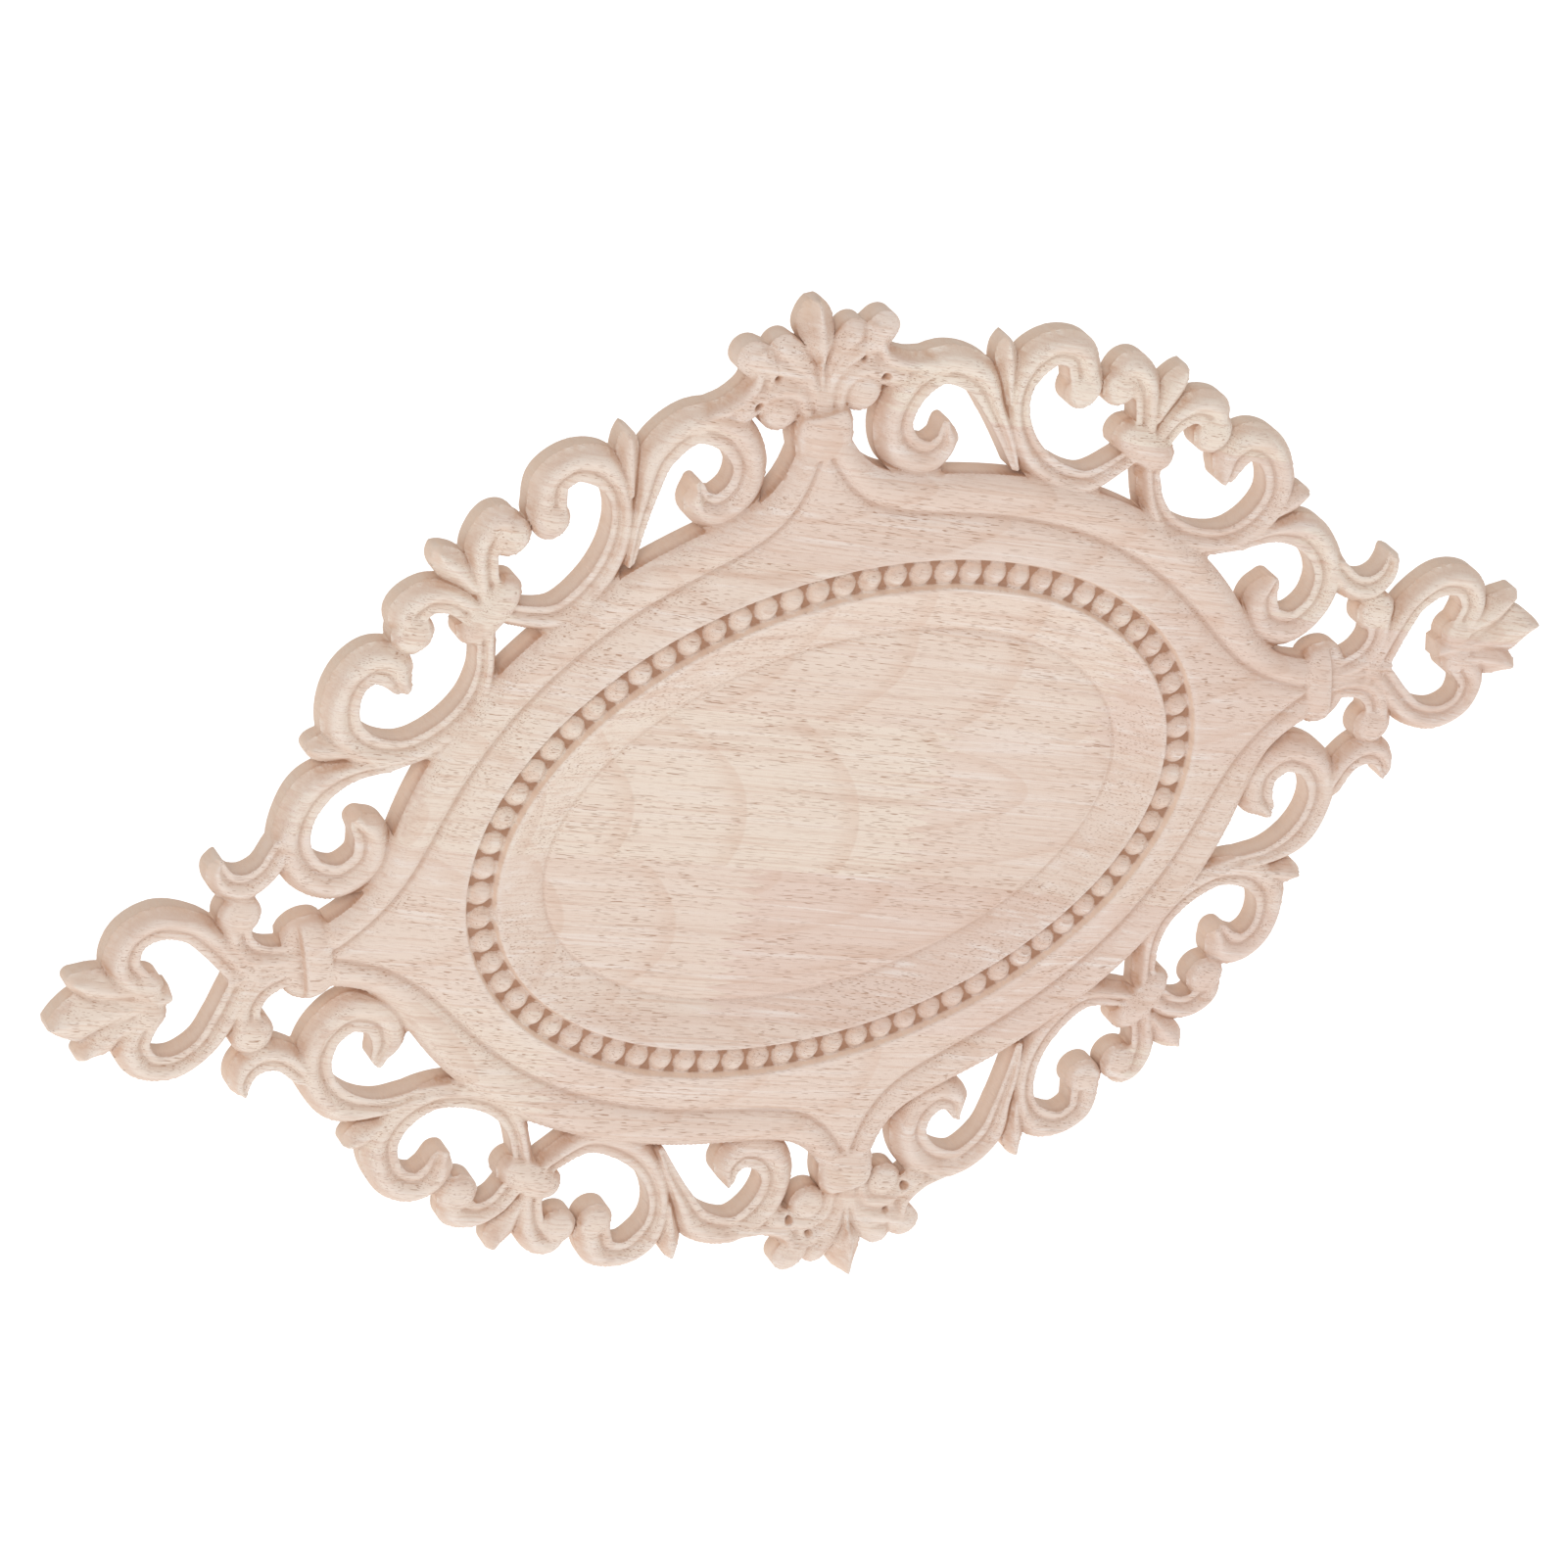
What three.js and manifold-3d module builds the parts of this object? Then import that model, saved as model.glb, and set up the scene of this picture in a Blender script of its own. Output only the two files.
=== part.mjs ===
// Carved wood applique: a horned oval panel with a ring of beads, in a border of pierced
// scrollwork, cut in one piece from a flat board. Millimetres, +Z up, hanging on a wall: the
// flat back stands in the plane y = 0, the carving faces -Y, and the origin is the centre of
// the back.
import * as THREE from 'three';
import { mergeVertices } from 'three/addons/utils/BufferGeometryUtils.js';
import Module from 'manifold-3d';

// Overall length of the carving, tip to tip
const LENGTH = 400;

// Heights of the carving above its flat back
const SCROLL_RIDGE = 6.6;
const SCROLL_GROOVE = 5.8;
const SCROLL_ROLL = 7.4;
const SCROLL_SHOULDER = 4;
const KNOB_EDGE = 5;
const KNOB_TOP = 7.8;
const LEAF_EDGE = 4.4;
const LEAF_CREASE = 7.2;
const BAND_EDGE = 5.4;
const BAND_TOP = 9;
const PANEL_EDGE = 7.4;
const PANEL_MOULDING = 9;
const PANEL_CREASE = 7.8;
const PANEL_BROW = 10;
const BEAD_FLOOR = 7;
const BEAD_TOP = 9.8;
const DISH_EDGE = 6.2;
const DISH_MIDDLE = 5.8;

// Sizes of the bead ring
const BEAD_PITCH = 6.8;
const BEAD_WIDTH = 6.2;
const BEAD_CROWN = 3.3;
const BEAD_GROOVE = 7.8;
const BEAD_SINK = 0.5;
const GROOVE_BATTER = 0.08;

// The plan is drawn in shares of one unit, in which the end tip lies at END_TIP
const END_TIP = 0.985;
const UNIT = LENGTH / 2 / END_TIP;

// Across a run, in shares of its half width: foot of the fillet, crown of the roll, flat of a band
const FILLET_FOOT = 0.5;
const ROLL_CROWN = 0.15;
const BAND_FLAT = 0.5;
const KNOB_CROWN = 0.45;

// Panel plan: a long oval with a horn at each collar, dying out towards the bead ring
const PANEL_OVAL = [0.583, 0.443];
const CREASE_OVAL = [0.524, 0.394];
const BEAD_OVAL = [0.463, 0.3195];
const DISH_OVAL = [0.378, 0.239];
const MIDDLE_OVAL = [0.01, 0.007];
const CREST_HORN = { reach: 0.064, half: 0.033, fade: 0.028 };
const END_HORN = { reach: 0.072, half: 0.04, fade: 0.024 };
const CREST_CREASE = { reach: 0.1, half: 0.004, fade: 0.037 };
const END_CREASE = { reach: 0.122, half: 0.004, fade: 0.05 };
const NO_HORN = { reach: 0, half: 0, fade: 1 };

// How finely curves are cut into facets
const PANEL_STEPS = 16;
const PANEL_CROWDING = 0.1;
const TURN_STEP = THREE.MathUtils.degToRad(50);
const KNOB_SIDES = 7;
const BEAD_SIDES = 6;
const RING_DIVISIONS = 720;
const FINEST = 0.3;
const SLIVER = 0.05;

const wasm = await Module();
wasm.setup();

// A closed solid from points and faces
function solid(positions, indices) {
  const raw = new THREE.BufferGeometry();
  raw.setAttribute('position', new THREE.Float32BufferAttribute(positions, 3));
  raw.setIndex(indices);
  const merged = mergeVertices(raw, 1e-4);
  return new wasm.Manifold(
    new wasm.Mesh({
      numProp: 3,
      vertProperties: new Float32Array(merged.attributes.position.array),
      triVerts: new Uint32Array(merged.index.array),
    }),
  );
}

// Rings of points, one after the other, skinned and closed by a fan at both ends
function loft(rings) {
  const count = rings[0].length;
  const positions = rings.flat(2);
  const indices = [];
  for (let i = 0; i + 1 < rings.length; i += 1) {
    for (let j = 0; j < count; j += 1) {
      const k = (j + 1) % count;
      const a = i * count + j;
      const b = i * count + k;
      indices.push(a, b, b + count, a, b + count, a + count);
    }
  }
  const last = (rings.length - 1) * count;
  for (let j = 1; j + 1 < count; j += 1) {
    indices.push(0, j + 1, j, last, last + j, last + j + 1);
  }
  return solid(positions, indices);
}

// Sections across a run: offsets in shares of its half width, heights in millimetres.
// A scroll has a narrow fillet on its left (side 1) or on its right (side -1), then a roll.
const scrollSection = (side) => {
  const leftHanded = [
    [1, 0],
    [1, SCROLL_RIDGE],
    [FILLET_FOOT, SCROLL_GROOVE],
    [-ROLL_CROWN, SCROLL_ROLL],
    [-1, SCROLL_SHOULDER],
    [-1, 0],
  ];
  const turned = leftHanded.map(([across, up]) => [side * across, up]);
  return side > 0 ? turned : turned.reverse();
};
const leafSection = [
  [1, 0],
  [1, LEAF_EDGE],
  [0, LEAF_CREASE],
  [-1, LEAF_EDGE],
  [-1, 0],
];
const bandSection = [
  [1, 0],
  [1, BAND_EDGE],
  [BAND_FLAT, BAND_TOP],
  [-BAND_FLAT, BAND_TOP],
  [-1, BAND_EDGE],
  [-1, 0],
];

// Points along a smooth run through knots of [x, y, half width], closer where it turns
function walk(knots) {
  const curve = new THREE.CatmullRomCurve3(
    knots.map(([x, y, half]) => new THREE.Vector3(x, y, half).multiplyScalar(UNIT)),
    false,
    'centripetal',
  );
  const spans = knots.length - 1;
  const heading = (t) => {
    const along = curve.getTangent(t);
    return Math.atan2(along.y, along.x);
  };
  const stops = [];
  for (let i = 0; i < spans; i += 1) {
    const swing = heading((i + 1) / spans) - heading(i / spans);
    const turn = Math.abs(Math.atan2(Math.sin(swing), Math.cos(swing)));
    const steps = Math.max(1, Math.ceil(turn / TURN_STEP));
    for (let k = 0; k < steps; k += 1) {
      stops.push((i + k / steps) / spans);
    }
  }
  stops.push(1);
  return stops.map((t) => {
    const { x, y, z } = curve.getPoint(t);
    return { x, y, half: z, angle: heading(t) };
  });
}

// A section carried along a run
function carve(knots, section) {
  const rings = walk(knots).map(({ x, y, half, angle }) =>
    section.map(([across, up]) => [
      x - Math.sin(angle) * half * across,
      y + Math.cos(angle) * half * across,
      up,
    ]),
  );
  return loft(rings);
}

// A rolled end of a scroll: an upright round with a domed top
function knob([x, y, radius]) {
  const profile = [
    [1, 0],
    [1, KNOB_EDGE],
    [KNOB_CROWN, KNOB_TOP],
  ];
  const rings = profile.map(([share, up]) =>
    Array.from({ length: KNOB_SIDES }, (_, i) => {
      const angle = (2 * Math.PI * i) / KNOB_SIDES;
      const reach = radius * share;
      return [UNIT * (x + reach * Math.cos(angle)), UNIT * (y + reach * Math.sin(angle)), up];
    }),
  );
  return loft(rings);
}

// The scrollwork of one quarter, from the crest at the top to the tip at the right
const LEFT = scrollSection(1);
const RIGHT = scrollSection(-1);
const runs = {
  crestScroll: [LEFT, [
    [0.247, 0.415, 0.005], [0.237, 0.455, 0.01], [0.224, 0.493, 0.0135], [0.204, 0.542, 0.021],
    [0.157, 0.568, 0.0215], [0.113, 0.55, 0.024], [0.091, 0.506, 0.022], [0.102, 0.468, 0.024],
    [0.134, 0.451, 0.023], [0.157, 0.466, 0.017], [0.158, 0.49, 0.006],
  ]],
  stemScroll: [RIGHT, [
    [0.42, 0.398, 0.013], [0.388, 0.381, 0.0135], [0.338, 0.367, 0.017], [0.29, 0.394, 0.018],
    [0.26, 0.436, 0.0165], [0.25, 0.483, 0.0145], [0.256, 0.518, 0.016], [0.274, 0.544, 0.021],
    [0.304, 0.5545, 0.0195], [0.335, 0.54, 0.0205], [0.343, 0.505, 0.022],
  ]],
  upperCurl: [LEFT, [
    [0.42, 0.4, 0.017], [0.425, 0.445, 0.017], [0.421, 0.482, 0.019], [0.401, 0.502, 0.021],
    [0.387, 0.488, 0.018],
  ]],
  lowerCurl: [RIGHT, [
    [0.436, 0.4, 0.017], [0.463, 0.424, 0.017], [0.492, 0.431, 0.019], [0.516, 0.417, 0.021],
    [0.515, 0.395, 0.018],
  ]],
  sideScroll: [LEFT, [
    [0.424, 0.385, 0.013], [0.426, 0.35, 0.0125], [0.43, 0.318, 0.0135], [0.446, 0.28, 0.018],
    [0.485, 0.251, 0.018], [0.535, 0.239, 0.018], [0.58, 0.253, 0.022], [0.605, 0.285, 0.022],
    [0.604, 0.325, 0.0205], [0.588, 0.353, 0.021], [0.562, 0.365, 0.023], [0.54, 0.355, 0.023],
    [0.532, 0.334, 0.014],
  ]],
  endScroll: [RIGHT, [
    [0.492, 0.236, 0.005], [0.55, 0.233, 0.009], [0.605, 0.235, 0.014], [0.647, 0.22, 0.021],
    [0.671, 0.188, 0.0205], [0.679, 0.15, 0.0215], [0.662, 0.111, 0.022], [0.625, 0.091, 0.024],
    [0.588, 0.109, 0.024], [0.582, 0.143, 0.021], [0.594, 0.161, 0.012],
  ]],
  curledLeaf: [LEFT, [
    [0.69, 0.152, 0.016], [0.712, 0.127, 0.016], [0.738, 0.117, 0.0185], [0.76, 0.127, 0.016],
    [0.769, 0.147, 0.011], [0.765, 0.161, 0.003],
  ]],
  ballStem: [LEFT, [
    [0.675, 0.012, 0.014], [0.705, 0.011, 0.016], [0.735, 0.02, 0.018], [0.753, 0.042, 0.018],
    [0.756, 0.066, 0.018],
  ]],
  endLoop: [RIGHT, [
    [0.735, -0.014, 0.016], [0.757, 0.018, 0.018], [0.78, 0.054, 0.018], [0.806, 0.083, 0.0165],
    [0.845, 0.099, 0.018], [0.879, 0.087, 0.0185], [0.892, 0.055, 0.02], [0.877, 0.026, 0.018],
  ]],
  crestReed: [leafSection, [
    [0.008, 0.5, 0.01], [0.01, 0.56, 0.013], [0.019, 0.6, 0.017], [0.033, 0.628, 0.02],
    [0.042, 0.644, 0.017], [0.046, 0.655, 0.009],
  ]],
  crestLeaf: [leafSection, [
    [0.018, 0.54, 0.012], [0.026, 0.585, 0.016], [0.047, 0.612, 0.019], [0.07, 0.629, 0.019],
    [0.085, 0.642, 0.017], [0.095, 0.652, 0.009],
  ]],
  crestTail: [LEFT, [
    [0.168, 0.568, 0.008], [0.138, 0.573, 0.014], [0.108, 0.578, 0.016], [0.08, 0.598, 0.015],
    [0.072, 0.63, 0.012],
  ]],
  crestFold: [leafSection, [
    [0.018, 0.5, 0.012], [0.022, 0.55, 0.015], [0.038, 0.584, 0.018], [0.066, 0.586, 0.018],
    [0.1, 0.57, 0.018],
  ]],
  endLobe: [leafSection, [
    [0.88, 0.02, 0.016], [0.92, 0.034, 0.022], [0.948, 0.05, 0.009],
  ]],
  budAtCrest: [leafSection, [
    [0.24, 0.5, 0.006], [0.24, 0.545, 0.014], [0.239, 0.566, 0.011], [0.24, 0.582, 0.002],
  ]],
  budAtTie: [leafSection, [
    [0.435, 0.43, 0.012], [0.458, 0.462, 0.018], [0.468, 0.474, 0.014], [0.474, 0.485, 0.005],
  ]],
  budAtSide: [leafSection, [
    [0.6, 0.258, 0.01], [0.624, 0.269, 0.017], [0.634, 0.272, 0.014], [0.646, 0.276, 0.003],
  ]],
  tie: [bandSection, [
    [0.387, 0.425, 0.013], [0.4, 0.413, 0.0195], [0.437, 0.38, 0.0195], [0.452, 0.367, 0.013],
  ]],
  crestCollar: [bandSection, [
    [-0.01, 0.515, 0.018], [0.022, 0.515, 0.018], [0.032, 0.516, 0.015], [0.038, 0.518, 0.009],
  ]],
  endCollar: [bandSection, [
    [0.671, -0.01, 0.025], [0.671, 0.03, 0.025], [0.671, 0.045, 0.02], [0.67, 0.054, 0.012],
  ]],
};
const knobs = {
  crestVolute: [0.052, 0.561, 0.024],
  stemEnd: [0.338, 0.491, 0.0225],
  upperCurlEnd: [0.388, 0.484, 0.024],
  lowerCurlEnd: [0.513, 0.391, 0.025],
  ballStemEnd: [0.748, 0.082, 0.0255],
  endLoopEnd: [0.868, 0.018, 0.021],
};

// The pointed buds on the long and the short axis
const axisBuds = {
  crestTip: [[0, 0.5, 0.012], [0, 0.6, 0.012], [0, 0.65, 0.027], [0, 0.672, 0.02], [0, 0.69, 0.003]],
  endTip: [[0.84, 0, 0.012], [0.9, 0, 0.03], [0.945, 0, 0.033], [0.97, 0, 0.019], [0.985, 0, 0.002]],
};

// A point of a horned oval at an angle from the long axis. The horns fade away from their axis.
function hornedOval([a, b], angle, crest, end) {
  const x = a * Math.cos(angle);
  const y = b * Math.sin(angle);
  const fade = (horn, off) => horn.reach * Math.exp(-Math.max(off - horn.half, 0) / horn.fade);
  return [x + Math.sign(x) * fade(end, Math.abs(y)), y + Math.sign(y) * fade(crest, Math.abs(x))];
}

// Angles round the oval, closer together beside the four horns
function ovalAngles() {
  const quarter = Array.from({ length: PANEL_STEPS }, (_, i) => {
    const t = i / PANEL_STEPS;
    return (Math.PI / 2) * (t - PANEL_CROWDING * Math.sin(4 * Math.PI * t));
  });
  return [0, 1, 2, 3].flatMap((turn) => quarter.map((angle) => angle + (turn * Math.PI) / 2));
}

// The panel: rings at their own heights, from the back edge to the middle of the dish
function panel() {
  const groove = BEAD_GROOVE / 2 / UNIT;
  const batter = GROOVE_BATTER / UNIT;
  const oval = (shape, crest = NO_HORN, end = NO_HORN) => (angle) => hornedOval(shape, angle, crest, end);
  const besideRing = (offset) => oval(BEAD_OVAL.map((share) => share + offset));
  const outline = oval(PANEL_OVAL, CREST_HORN, END_HORN);
  const crease = oval(CREASE_OVAL, CREST_CREASE, END_CREASE);
  const crown = (angle) => {
    const [x, y] = outline(angle);
    const [u, v] = crease(angle);
    return [(x + u) / 2, (y + v) / 2];
  };
  const stack = [
    [oval(MIDDLE_OVAL), 0],
    [outline, 0],
    [outline, PANEL_EDGE],
    [crown, PANEL_MOULDING],
    [crease, PANEL_CREASE],
    [besideRing(groove), PANEL_BROW],
    [besideRing(groove - batter), BEAD_FLOOR],
    [besideRing(batter - groove), BEAD_FLOOR],
    [besideRing(-groove), PANEL_BROW],
    [oval(DISH_OVAL), DISH_EDGE],
    [oval(MIDDLE_OVAL), DISH_MIDDLE],
  ];
  const angles = ovalAngles();
  const rings = stack.map(([place, up]) =>
    angles.map((angle) => {
      const [x, y] = place(angle);
      return [x * UNIT, y * UNIT, up];
    }),
  );
  return loft(rings);
}

// The beads: low domes spaced evenly round the middle line of their groove
function beads() {
  const [a, b] = BEAD_OVAL.map((share) => share * UNIT);
  const ring = new THREE.EllipseCurve(0, 0, a, b);
  ring.arcLengthDivisions = RING_DIVISIONS;
  const count = Math.round(ring.getLength() / BEAD_PITCH);
  const profile = [
    [BEAD_WIDTH / 2, BEAD_FLOOR - BEAD_SINK],
    [BEAD_CROWN / 2, BEAD_TOP],
  ];
  return Array.from({ length: count }, (_, i) => {
    const centre = ring.getPointAt(i / count);
    const ahead = ring.getTangentAt(i / count).angle();
    const rings = profile.map(([radius, up]) =>
      Array.from({ length: BEAD_SIDES }, (__, k) => {
        const angle = ahead + (2 * Math.PI * k) / BEAD_SIDES;
        return [centre.x + radius * Math.cos(angle), centre.y + radius * Math.sin(angle), up];
      }),
    );
    return loft(rings);
  });
}

// A solid mirrored across one or both axes of the plan
function mirrored(body, flipX, flipY) {
  const mesh = body.getMesh();
  const positions = Array.from(mesh.vertProperties);
  for (let i = 0; i < positions.length; i += 3) {
    positions[i] *= flipX;
    positions[i + 1] *= flipY;
  }
  const indices = Array.from(mesh.triVerts);
  if (flipX * flipY < 0) {
    indices.reverse();
  }
  return solid(positions, indices);
}

function join(bodies) {
  return bodies.reduce((sum, body) => sum.add(body));
}

// The whole carving, lying on its back
function applique() {
  const quarter = join([
    ...Object.values(runs).map(([section, knots]) => carve(knots, section)),
    ...Object.values(knobs).map(knob),
    ...Object.values(axisBuds).map((knots) => carve(knots, leafSection)),
  ]);
  const flips = [[1, 1], [-1, 1], [-1, -1], [1, -1]];
  const border = join(flips.map(([flipX, flipY]) => mirrored(quarter, flipX, flipY)));
  const board = join([border, panel()]).asOriginal().simplify(FINEST);
  return join([board, ...beads()]).asOriginal().simplify(SLIVER);
}

function meshOf(body, material) {
  const { vertProperties, triVerts } = body.getMesh();
  const geometry = new THREE.BufferGeometry();
  geometry.setAttribute('position', new THREE.BufferAttribute(vertProperties, 3));
  geometry.setIndex(new THREE.BufferAttribute(triVerts, 1));
  geometry.computeVertexNormals();
  return new THREE.Mesh(geometry, material);
}

const paleWood = new THREE.MeshStandardMaterial({ color: 0xe6cfbb, roughness: 0.75, metalness: 0 });

const carving = meshOf(applique(), paleWood);
carving.name = 'applique';

const group = new THREE.Group();
group.add(carving);
group.rotation.x = Math.PI / 2;

export default group;
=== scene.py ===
"""Looks of the carved wood applique: one fine surface in place of the faceted solid."""
import math

import bpy
import numpy as np
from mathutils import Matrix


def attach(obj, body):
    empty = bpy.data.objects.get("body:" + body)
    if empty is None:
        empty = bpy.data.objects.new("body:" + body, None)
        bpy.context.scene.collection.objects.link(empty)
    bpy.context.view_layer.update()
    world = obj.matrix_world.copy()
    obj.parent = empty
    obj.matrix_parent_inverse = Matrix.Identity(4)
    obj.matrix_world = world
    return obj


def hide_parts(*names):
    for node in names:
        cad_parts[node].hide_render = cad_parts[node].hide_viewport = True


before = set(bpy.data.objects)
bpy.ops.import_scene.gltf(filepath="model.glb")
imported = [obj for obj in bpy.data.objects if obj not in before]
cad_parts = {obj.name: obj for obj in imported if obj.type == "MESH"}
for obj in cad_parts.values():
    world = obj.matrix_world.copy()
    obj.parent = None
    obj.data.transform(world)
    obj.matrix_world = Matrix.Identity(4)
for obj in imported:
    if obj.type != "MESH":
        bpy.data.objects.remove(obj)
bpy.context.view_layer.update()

MM = 0.001

# Overall length of the carving, tip to tip, and the unit that the plan is drawn in
LENGTH = 400
END_TIP = 0.985
UNIT = LENGTH / 2 / END_TIP

# Heights of the carving above its flat back. All sizes are in millimetres but for those in plan units.
SCROLL_RIDGE = 6.6
SCROLL_GROOVE = 5.8
SCROLL_ROLL = 7.5
SCROLL_SHOULDER = 4.2
KNOB_EDGE = 5
KNOB_TOP = 7.8
LEAF_EDGE = 4.4
LEAF_CREASE = 7.4
FROND_EDGE = 5.6
FROND_RIDGE = 7.6
BUD_FOOT = 6.8
BUD_EDGE = 3
BUD_RIDGE = 8.9
BAND_TOP = 9
TIE_EDGE = 4.4
CUP_TOP = 9.2
CUP_EDGE = 6.2
CUFF_SHOULDER = 8.4
CUFF_EDGE = 4.2
PANEL_EDGE = 6.8
PANEL_MOULDING = 9.1
PANEL_CREASE = 7.3
CREASE_SHOULDER = 8.5
PANEL_BROW = 9.9
BEAD_FLOOR = 7.7
BEAD_TOP = 9.9
DISH_EDGE = 6.2
DISH_MIDDLE = 5.8
DISH_LINE_DEPTH = 0.45
LOWEST = 1.5

# Bead ring and the steepness of its groove's sides
BEAD_PITCH = 6.8
BEAD_WIDTH = 6.3
BEAD_GROOVE = 7.8
GROOVE_SLOPE = 3.5

# Widths in the panel: the roll of its outer edge, the cut at the crease, the line and the fall of the dish
EDGE_ROLL = 4.6
CREASE_CUT = 1.1
DISH_LINE = 0.6
DISH_FALL = 30

# Panel plan, in plan units: a long oval with a horn at each collar, dying out towards the bead ring
PANEL_OVAL = (0.583, 0.443)
CREASE_OVAL = (0.524, 0.394)
BEAD_OVAL = (0.463, 0.3195)
DISH_OVAL = (0.378, 0.239)
CREST_HORN = {"reach": 0.064, "half": 0.033, "fade": 0.028}
END_HORN = {"reach": 0.072, "half": 0.04, "fade": 0.024}
CREST_CREASE = {"reach": 0.104, "half": 0.004, "fade": 0.037}
END_CREASE = {"reach": 0.124, "half": 0.004, "fade": 0.05}

# Grid of the fine surface: its cell, the cells of a quarter past the axes and past its far sides, and the
# height of its plan in plan units
GRID = 0.4
OVERLAP = 8
MARGIN_CELLS = 6
TOP_REACH = 0.7
MOST_TRIANGLES = 188000

# Walls: the draft between two surfaces, the swell of every plan, the room round a path that its draft needs,
# and the value of the bare grid
DRAFT = 2.2
SWELL = 0.25
ROOM = 3
NOTHING = -50.0

# Rounding left by sanding: the round of the rims, the drop of the outline's points and a blur in cells
EDGE_ROUND = 0.4
RIM_DROP = 0.15
SANDING = 0.7

# Spread of the blurs behind the two fields of painted shade and highlight, and the most painted shade that a
# corner between beads takes
SHADE_AND_HIGHLIGHT_SPREAD = 1.1
WALL_SHADE_SPREAD = 3
CORNER_SHADE = 0.75

# Keeps the slope of a round finite at its edge
ROUND = 0.98

# The scrollwork of one quarter, crest to end tip: knots of [x, y, half width] in plan units.
# A scroll carries its narrow fillet on its left or right side.
RUNS = {
    "crest_scroll": ("left", [
        [0.247, 0.415, 0.005], [0.237, 0.455, 0.01], [0.224, 0.493, 0.0135], [0.204, 0.542, 0.021],
        [0.157, 0.568, 0.0215], [0.113, 0.55, 0.024], [0.091, 0.506, 0.022], [0.102, 0.468, 0.024],
        [0.134, 0.451, 0.023], [0.157, 0.466, 0.017], [0.158, 0.49, 0.006],
    ]),
    "stem_scroll": ("right", [
        [0.42, 0.398, 0.013], [0.388, 0.381, 0.0135], [0.338, 0.367, 0.017], [0.29, 0.394, 0.018],
        [0.26, 0.436, 0.0165], [0.25, 0.483, 0.0145], [0.256, 0.518, 0.016], [0.274, 0.544, 0.021],
        [0.304, 0.5545, 0.0195], [0.335, 0.54, 0.0205], [0.343, 0.505, 0.022],
    ]),
    "upper_curl": ("left", [
        [0.42, 0.4, 0.017], [0.425, 0.445, 0.017], [0.421, 0.482, 0.019], [0.401, 0.502, 0.021],
        [0.387, 0.488, 0.018],
    ]),
    "lower_curl": ("right", [
        [0.436, 0.4, 0.017], [0.463, 0.424, 0.017], [0.492, 0.431, 0.019], [0.516, 0.417, 0.021],
        [0.515, 0.395, 0.018],
    ]),
    "side_scroll": ("left", [
        [0.424, 0.385, 0.013], [0.426, 0.35, 0.0125], [0.43, 0.318, 0.0135], [0.446, 0.28, 0.018],
        [0.485, 0.251, 0.018], [0.535, 0.239, 0.018], [0.58, 0.253, 0.022], [0.605, 0.285, 0.022],
        [0.604, 0.325, 0.0205], [0.588, 0.353, 0.021], [0.562, 0.365, 0.023], [0.54, 0.355, 0.023],
        [0.532, 0.334, 0.014],
    ]),
    "end_scroll": ("right", [
        [0.492, 0.236, 0.005], [0.55, 0.233, 0.009], [0.605, 0.235, 0.014], [0.647, 0.22, 0.021],
        [0.671, 0.188, 0.0205], [0.679, 0.15, 0.0215], [0.662, 0.111, 0.022], [0.625, 0.091, 0.024],
        [0.588, 0.109, 0.024], [0.582, 0.143, 0.021], [0.594, 0.161, 0.012],
    ]),
    "curled_leaf": ("left", [
        [0.69, 0.152, 0.016], [0.712, 0.127, 0.016], [0.738, 0.117, 0.0185], [0.76, 0.127, 0.016],
        [0.769, 0.147, 0.011], [0.765, 0.161, 0.003],
    ]),
    "ball_stem": ("left", [
        [0.675, 0.012, 0.014], [0.705, 0.011, 0.016], [0.735, 0.02, 0.018], [0.753, 0.042, 0.018],
        [0.756, 0.066, 0.018],
    ]),
    "end_loop": ("right", [
        [0.735, -0.014, 0.016], [0.757, 0.018, 0.018], [0.78, 0.054, 0.018], [0.806, 0.083, 0.0165],
        [0.845, 0.099, 0.018], [0.879, 0.087, 0.0185], [0.892, 0.055, 0.02], [0.877, 0.026, 0.018],
    ]),
    "crest_reed": ("frond", [
        [0.006, 0.53, 0.0075], [0.008, 0.575, 0.0095], [0.017, 0.602, 0.0145], [0.032, 0.622, 0.0185],
        [0.042, 0.633, 0.0185], [0.044, 0.6355, 0.018],
    ]),
    "crest_leaf": ("frond", [
        [0.009, 0.555, 0.0085], [0.016, 0.586, 0.011], [0.036, 0.606, 0.0155], [0.062, 0.619, 0.0205],
        [0.078, 0.631, 0.02], [0.0815, 0.634, 0.0195],
    ]),
    "crest_tail": ("left", [
        [0.168, 0.568, 0.008], [0.138, 0.573, 0.014], [0.108, 0.578, 0.016], [0.08, 0.598, 0.015],
        [0.072, 0.63, 0.012],
    ]),
    "crest_fold": ("frond", [
        [0.0195, 0.52, 0.011], [0.0205, 0.553, 0.0115], [0.029, 0.578, 0.014], [0.05, 0.588, 0.0155],
        [0.07, 0.584, 0.015], [0.1, 0.57, 0.016],
    ]),
    "end_lobe": ("leaf", [
        [0.88, 0.02, 0.016], [0.92, 0.034, 0.022], [0.948, 0.05, 0.009],
    ]),
    "bud_at_crest": ("leaf", [
        [0.24, 0.5, 0.006], [0.24, 0.545, 0.014], [0.239, 0.566, 0.011], [0.24, 0.582, 0.002],
    ]),
    "bud_at_tie": ("leaf", [
        [0.435, 0.43, 0.012], [0.458, 0.462, 0.018], [0.468, 0.474, 0.014], [0.474, 0.485, 0.005],
    ]),
    "bud_at_side": ("leaf", [
        [0.6, 0.258, 0.01], [0.624, 0.269, 0.017], [0.634, 0.272, 0.014], [0.646, 0.276, 0.003],
    ]),
}

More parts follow.
